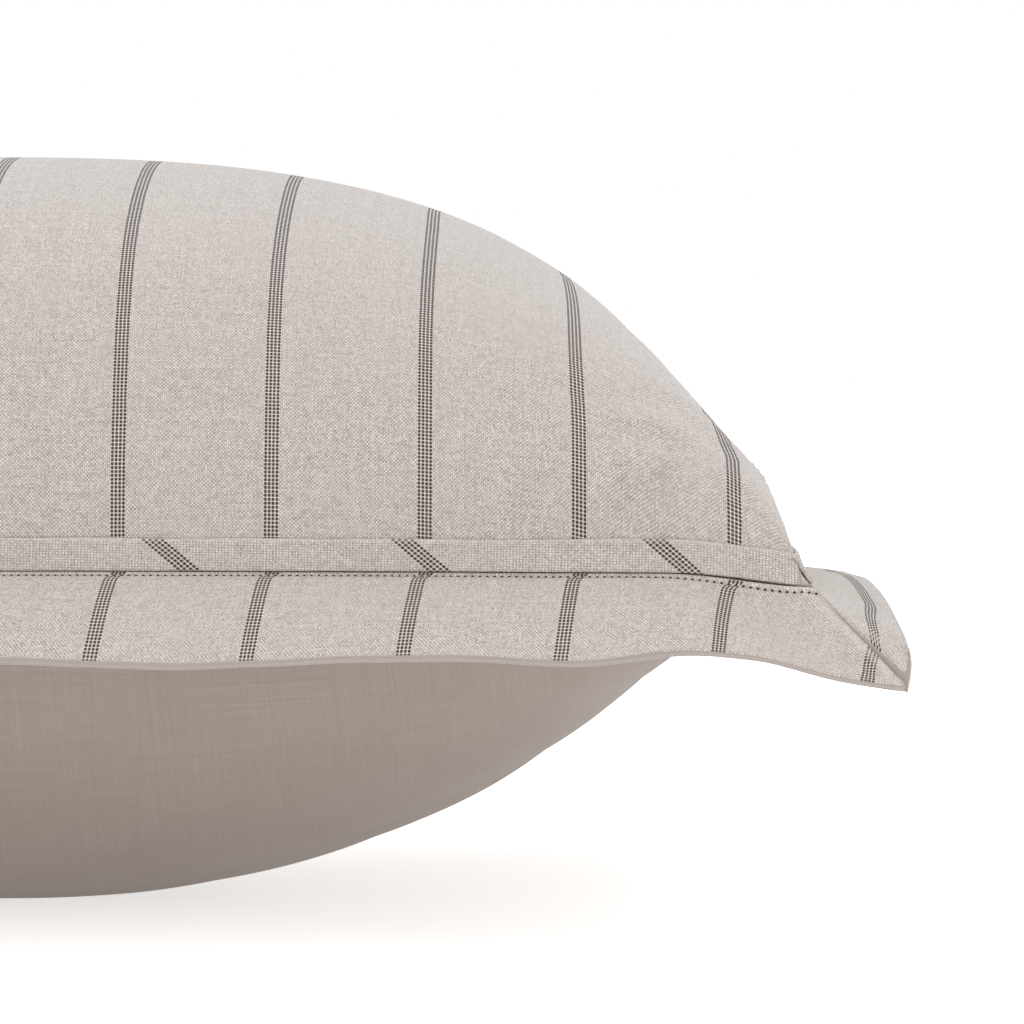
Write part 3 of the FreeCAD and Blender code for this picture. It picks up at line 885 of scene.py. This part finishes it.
def band_cloth(side):
    """Place in the flat striped cloth of a strip cut on the bias, so its stripes slant."""
    place, back_to_front = band_place(side), SIDES[-SIDES.index(side)]

    def cloth(s, t):
        x, w = turned(place(s, t), back_to_front)[..., 0], (t + 1) / 2 * BAND_SHOWN
        return np.stack([0.615 * (x - BAND_SLIP[side]) + 0.72 * w, 0.79 * w - 0.62 * x], -1)
    return cloth


# painted highlight along the band's folded free edge, and weaker along its seam
def fold_highlight(s, t):
    return bell((t + 1) / 2, 1.0, 0.07) + 0.4 * bell((t + 1) / 2, 0.0, 0.05)


def make_band(side):
    bm = sheet_bm(260, 14, band_place(side), band_cloth(side), fold_highlight)
    return finished(bm, f"inner_band_{side}_strip", LINEN,
                    [f"inner_band_{side}"], BAND_THICK)


ACROSS = 40


def closer_at_seam(t):
    """Rows of a flange strip, closer together by the seam and at the hem."""
    share = (t + 1) / 2
    return share + 0.55 * share * (share - 1) * (0.62 - share) * 2.2


def make_flange(side):
    def place(s, t):
        r = closer_at_seam(t)
        return flange_at(side, s * (1 - LAYER_GAP / 2 / HALF), r,
                         CLOTH + LAYER_GAP / 2 + flange_profile(s, r))

    def cloth(s, t):
        return flange_cloth(side, s, closer_at_seam(t))

    # painted highlight on the seam's ridge, the rolled hem and the mitres' edges
    def ridge_highlight(s, t):
        r = closer_at_seam(t)
        return 0.9 * bell(r * 40, 0.5, 0.5) + bell(r, 1.0, 0.016) + bell(np.abs(s), 0.986, 0.005)
    bm = sheet_bm(340, ACROSS, place, cloth, ridge_highlight, face_up=False)
    return finished(bm, f"flange_{side}_strip", LINEN, [f"flange_{side}"],
                    FLANGE_THICK)


# ---- back of the cover, divided by the zip --------------------------------------------------
def in_zip_frame(points):
    """How far each point is across the zip (main panel's side positive) and out from it."""
    off = points - np.array(ZIP_MID)
    return off @ ZIP_ACROSS, off @ ZIP_OUT


def zip_edge(a, hand):
    """Step b on the back's line a where the folded edge beside the zip lies."""
    low, high = np.full(np.shape(a), 0.3), np.full(np.shape(a), 0.998)
    for _ in range(24):
        middle = (low + high) / 2
        points = back.at(a, middle)
        across, _ = in_zip_frame(points)
        closed = ease(np.abs(points[..., 0]), ZIP_END - 5 * MM, ZIP_END + 3 * MM)
        gap = hand * (ZIP_FOLD * (1 - closed) + 0.12 * MM)
        low = np.where(across > gap, middle, low)
        high = np.where(across > gap, high, middle)
    return (low + high) / 2


def beside_zip(points):
    """Lay the back's cloth flat over the zip's tapes, with a padded fold at its edge."""
    across, out = in_zip_frame(points)
    along = 1 - ease(np.abs(points[..., 0]), ZIP_END - 2 * MM, ZIP_END + 26 * MM)
    near = (1 - ease(np.abs(across), 13 * MM, 34 * MM)) * along
    raised = bell(np.abs(across), ZIP_FOLD + 1.0 * MM, 1.2 * MM)
    turned_in = bell(np.abs(across), ZIP_FOLD - 0.1 * MM, 0.5 * MM)
    target = (1.75 + 0.35 * raised - 0.35 * turned_in) * MM
    seam = -0.7 * MM * bell(across, 0.0, 1.1 * MM) * (1 - along)
    shift = near * (target - out) + seam
    return points + shift[..., None] * ZIP_OUT


def cut_cloth(a, b):
    """Place in the flat cut of a plain panel."""
    return np.stack([a * CUT_HALF, b * CUT_HALF], -1)


def margin(side, steps_along, span, rows=16):
    """The back cloth's margin that lines a flange strip, from hem (t = -1) to seam (t = 1)."""
    def place(s, t):
        r = (1 - t) / 2
        roll = 0.9 * ease(r, 0.95, 1.0) ** 2
        return flange_at(side, s, r, (-0.75 + roll) * MM)

    def cloth(s, t):
        out = CUT_HALF + FLANGE_CLOTH * (1 - t) / 2
        return turned(np.stack([s * out, -out, 0 * s], -1), side)[..., :2]

    # painted highlight on the rolled hem
    def ridge_highlight(s, t):
        return bell((1 - t) / 2, 1.0, 0.02)
    return sheet_bm(steps_along, rows, place, cloth, ridge_highlight, face_up=False, span=(span, (-1, 1)))


def belly(hand, rows):
    """Back panel from its seam to the zip: the main panel for hand 1, the facing for hand -1."""
    start = -1.0 if hand > 0 else 1.0

    def steps_at(s, t):
        edge = zip_edge(s, hand)
        share = (t + 1) / 2
        share = share + 0.25 * share * (1 - share)
        return s, start + (edge - start) * share

    def place(s, t):
        return beside_zip(back.at(*steps_at(s, t)))

    def cloth(s, t):
        return cut_cloth(*steps_at(s, t))
    return sheet_bm(2 * CELLS, rows, place, cloth, face_up=hand < 0)


def make_back():
    edge = float(zip_edge(np.array([1.0]), 1.0)[0])
    main = joined([belly(1.0, 150), margin("front", 160, (-1, 1)),
                   margin("right", 130, (-1, edge)), margin("left", 130, (-edge, 1))])
    facing = joined([belly(-1.0, 26), margin("back", 160, (-1, 1)),
                     margin("right", 30, (edge + 0.001, 1)),
                     margin("left", 30, (-1, -edge - 0.001))])
    return (finished(main, "back_panel_main_cloth", BACKING,
                     ["back_panel_main"], CLOTH),
            finished(facing, "back_panel_zip_facing_cloth", BACKING,
                     ["back_panel_zip_facing"], CLOTH))


# ---- stitching ------------------------------------------------------------------------------
TOPSTITCH_LINE = 2.3 * MM                 # out from the seam
TOPSTITCH_PITCH = 2.2 * MM
ZIP_STITCH_PITCH = 2.4 * MM


def stitched(name, line, normals, pitch, nodes):
    """A row of stitches along each line of points, every one a small thread with a dark disc
    of painted shadow at its needle hole, sunk a little into the cloth."""
    bm = bmesh.new()
    for points, ups in zip(line, normals):
        run = np.concatenate([[0], np.cumsum(np.linalg.norm(np.diff(points, axis=0), axis=1))])
        count = int(run[-1] / pitch)
        for k in range(count):
            at = (k + 0.5) * run[-1] / count
            spot = Vector([np.interp(at, run, points[:, c]) for c in range(3)])
            ahead = Vector([np.interp(at + 0.3 * pitch, run, points[:, c]) for c in range(3)])
            up = Vector([np.interp(at, run, ups[:, c]) for c in range(3)]).normalized()
            along = (ahead - spot).normalized()
            across = up.cross(along).normalized()
            turn = Matrix((along, across, up)).transposed().to_4x4()
            size = Matrix.Diagonal((0.36 * pitch, 0.24 * MM, 0.2 * MM, 1.0))
            bmesh.ops.create_icosphere(
                bm, subdivisions=1, radius=1.0,
                matrix=Matrix.Translation(spot + up * 0.14 * MM) @ turn @ size)
            hole_shadow_at = spot + along * 0.5 * pitch + up * 0.24 * MM
            # a dark disc of painted shadow where the needle hole dents the cloth
            made = bmesh.ops.create_circle(
                bm, cap_ends=True, segments=7, radius=0.42 * MM,
                matrix=Matrix.Translation(hole_shadow_at) @ turn @ Matrix.Diagonal((1.0, 1.25, 1.0, 1.0)))
            for face in {f for v in made["verts"] for f in v.link_faces}:
                face.material_index = 1
    return finished(bm, name, [THREAD, HOLE_SHADOW], nodes)


def flange_normals(side, q, r):
    e = 0.002
    along = flange_at(side, q + e, r) - flange_at(side, q - e, r)
    outward = flange_at(side, q, r + e) - flange_at(side, q, r - e)
    found = np.cross(along, outward)
    found *= np.sign(found[..., 2:3])
    return found / np.linalg.norm(found, axis=-1, keepdims=True)


def make_topstitching():
    lines, ups = [], []
    q = np.linspace(-0.995, 0.995, 700)
    r = TOPSTITCH_LINE / FLANGE_CLOTH + 0 * q
    for side in SIDES:
        lines.append(flange_at(side, q, r, CLOTH + LAYER_GAP / 2 + flange_profile(q, r)))
        ups.append(flange_normals(side, q, r))
    return stitched("topstitching_thread", lines, ups, TOPSTITCH_PITCH, ["topstitching"])


def make_zip_stitching():
    lines, ups = [], []
    for hand in (1, -1):
        x = np.linspace(-ZIP_END + 3 * MM, ZIP_END - 3 * MM, 400)
        level = np.array(ZIP_MID) + hand * ZIP_STITCHES * ZIP_ACROSS + 1.8 * MM * ZIP_OUT
        lines.append(np.stack([x, 0 * x + level[1], 0 * x + level[2]], -1))
        ups.append(np.tile(ZIP_OUT, (len(x), 1)))
    for end in (-1, 1):
        w = np.linspace(-ZIP_STITCHES, ZIP_STITCHES, 20)
        level = np.array(ZIP_MID) + 1.85 * MM * ZIP_OUT
        level = level + np.array((end * (ZIP_END - 2 * MM), 0, 0))
        lines.append(level + w[:, None] * ZIP_ACROSS)
        ups.append(np.tile(ZIP_OUT, (len(w), 1)))
    return stitched("zip_stitching_thread", lines, ups, ZIP_STITCH_PITCH, ["zip_stitching"])


# ---- zip ------------------------------------------------------------------------------------
def make_coil(hand, name):
    """One half of a nylon coil: flattened loops side by side, those of the other half between."""
    bm = bmesh.new()
    low_x, high_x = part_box(name)[0].x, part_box(name)[1].x
    pitch, near, far = 1.4 * MM, 0.5 * MM, 2.9 * MM
    directions = (Vector((1, 0, 0)), Vector(ZIP_ACROSS), Vector(ZIP_OUT))
    frame_turn = Matrix(directions).transposed().to_4x4()
    count = int((high_x - low_x) / pitch) - 1
    for k in range(count):
        x = low_x + (k + (0.5 if hand > 0 else 1.0)) * pitch
        middle = ZIP_MID + Vector((x, 0, 0)) + hand * (near + far) / 2 * Vector(ZIP_ACROSS)
        middle += 1.1 * MM * Vector(ZIP_OUT)
        size = Matrix.Diagonal((0.46 * MM, (far - near) / 2, 0.8 * MM, 1.0))
        lean = Matrix.Rotation(hand * 0.14, 4, "Z")
        bmesh.ops.create_uvsphere(bm, u_segments=8, v_segments=5, radius=1.0,
                                  matrix=Matrix.Translation(middle) @ frame_turn @ lean @ size)
    return finished(bm, f"{name}_loops", NYLON, [name])


for node, finish_material in (("zip_tape_main", TAPE), ("zip_tape_facing", TAPE),
                              ("zip_top_stops", METAL), ("zip_bottom_stop", METAL),
                              ("zip_slider", METAL), ("zip_pull_tab", METAL)):
    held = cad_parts[node]
    held.data.materials.clear()
    held.data.materials.append(finish_material)


# ---- insert and label -----------------------------------------------------------------------
CASE_DEPTHS = (5.0 * MM, 4.0 * MM)        # cover's surface to the casing's, front and back
FILLING_DEPTHS = (10.5 * MM, 9.5 * MM)
CASING_THICK, LABEL_THICK = 0.8 * MM, 0.5 * MM
LABEL_HALF_WIDTH, LABEL_HALF_LENGTH = 13.0 * MM, 20.0 * MM


def inner_points(half_index, depth):
    """The body's surface drawn in by depth, with part of the cover's folds."""
    if half_index == 0:
        base = draped(grid_a, grid_b, HALF - PANEL_INSET - depth, SEAM_Z + LAYER_GAP,
                      CROWN_RISE - depth, FRONT_PROFILE)
    else:
        base = draped(grid_a, grid_b, HALF - 1.5 * MM - depth, SEAM_Z - LAYER_GAP / 2,
                      -(SEAM_Z - 1.5 * MM - depth), BACK_PROFILE)
    return finer(base + 0.7 * settled(half_index))


def make_case(half_index, name):
    skin = Skin(inner_points(half_index, CASE_DEPTHS[half_index]), 1.0 - 2 * half_index)
    bm = sheet_bm(120, 120, skin.at, cut_cloth, face_up=half_index == 0)
    return finished(bm, f"{name}_cloth", CASING, [name], CASING_THICK)


def make_filling():
    """Body of loose fibre: two halves joined at the seam, lumpy all over."""
    parts = []
    for half_index in (0, 1):
        skin = Skin(inner_points(half_index, FILLING_DEPTHS[half_index]), 1.0 - 2 * half_index)

        def place(a, b, skin=skin, half_index=half_index):
            lump = waver(a * 9, b * 9, 70.0 + half_index) + 0.5 * waver(a * 22, b * 22, 80.0)
            inside = 1 - np.maximum(np.abs(a), np.abs(b)) ** 8
            points = skin.at(a, b, -1.2 * MM * inside * (1 + lump))
            points[..., 2] = np.where(inside < 1e-6, SEAM_Z, points[..., 2])
            return points
        parts.append(sheet_bm(120, 120, place, cut_cloth, face_up=half_index == 0))
    bm = joined(parts)
    rims = [e for e in bm.edges if e.is_boundary]
    bmesh.ops.bridge_loops(bm, edges=rims)
    bmesh.ops.recalc_face_normals(bm, faces=bm.faces)
    return finished(bm, "insert_filling_fibre", FIBRE, ["insert_filling"])


def make_label():
    low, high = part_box("care_label")
    mid_x = (low.x + high.x) / 2

    def place(s, t):
        a = mid_x / HALF + s * LABEL_HALF_WIDTH / HALF * 0.96
        b = -1 + (0.16 + 0.155 * (t + 1) / 2)
        curl = 0.8 * ease(t, 0.3, 1.0) * MM
        return back.at(a, b, -(CLOTH + 0.9 * MM + curl))

    def cloth(s, t):
        return np.stack([s * LABEL_HALF_WIDTH, t * LABEL_HALF_LENGTH], -1)
    bm = sheet_bm(16, 24, place, cloth)
    return finished(bm, "care_label_tape", LABEL, ["care_label"], LABEL_THICK)


front_panel = make_front_panel()
bands = [make_band(side) for side in SIDES]
flanges = [make_flange(side) for side in SIDES]
back_main, back_facing = make_back()
make_topstitching()
make_zip_stitching()
make_coil(1, "zip_coil_main")
make_coil(-1, "zip_coil_facing")
case_top = make_case(0, "insert_case_top")
case_bottom = make_case(1, "insert_case_bottom")
filling = make_filling()
label = make_label()


# ---- floor, light and camera ----------------------------------------------------------------
def make_floor():
    bm = bmesh.new()
    bmesh.ops.create_grid(bm, x_segments=2, y_segments=2, size=30.0)
    mesh = bpy.data.meshes.new("floor")
    bm.to_mesh(mesh)
    bm.free()
    floor = bpy.data.objects.new("floor", mesh)
    bpy.context.scene.collection.objects.link(floor)
    made, n, surface = material("pale_floor")
    place = n.add("TexCoord").outputs["Object"]
    n.put(surface["Base Color"],
          n.tint(n.noise(place, 3.0), (0.8, 0.8, 0.8, 1), (0.81, 0.81, 0.81, 1)))
    surface["Roughness"].default_value = 0.9
    surface["Specular IOR Level"].default_value = 0.0
    surface["Emission Color"].default_value = (1, 1, 1, 1)
    seen = n.add("LightPath").outputs["Is Camera Ray"]
    n.put(surface["Emission Strength"], n.math("MULTIPLY_ADD", seen, 0.32, 0.3))
    mesh.materials.append(made)


def make_light(name, place, target, size, power, tint=(1.0, 1.0, 1.0)):
    data = bpy.data.lights.new(name, "AREA")
    data.shape = "SQUARE"
    data.size = size
    data.energy = power
    data.color = tint
    light = bpy.data.objects.new(name, data)
    bpy.context.scene.collection.objects.link(light)
    light.location = place
    light.rotation_euler = (Vector(target) - Vector(place)).to_track_quat("-Z", "Y").to_euler()


make_floor()
make_light("overhead", (-0.3, 0.5, 2.4), (0, 0, 0.1), 1.8, 13.0, (0.92, 1.0, 1.1))
make_light("front_fill", (1.2, -2.6, 1.5), (0, 0, 0.1), 1.6, 3.0)
world = bpy.data.worlds.new("studio")
world.use_nodes = True
world.node_tree.nodes["Background"].inputs[0].default_value = (1.0, 1.0, 1.0, 1.0)
world.node_tree.nodes["Background"].inputs[1].default_value = 1.0
bpy.context.scene.world = world

lens = bpy.data.cameras.new("camera")
lens.sensor_width = 36.0
lens.lens = 242.0
lens.clip_start = 0.1
lens.clip_end = 100.0
camera = bpy.data.objects.new("camera", lens)
bpy.context.scene.collection.objects.link(camera)
camera.location = (0.1644, -2.29006, 0.17885)
camera.rotation_euler = (math.radians(90.0 - 1.3), 0.0, 0.0)
bpy.context.scene.camera = camera
bpy.context.scene.view_settings.view_transform = "Standard"
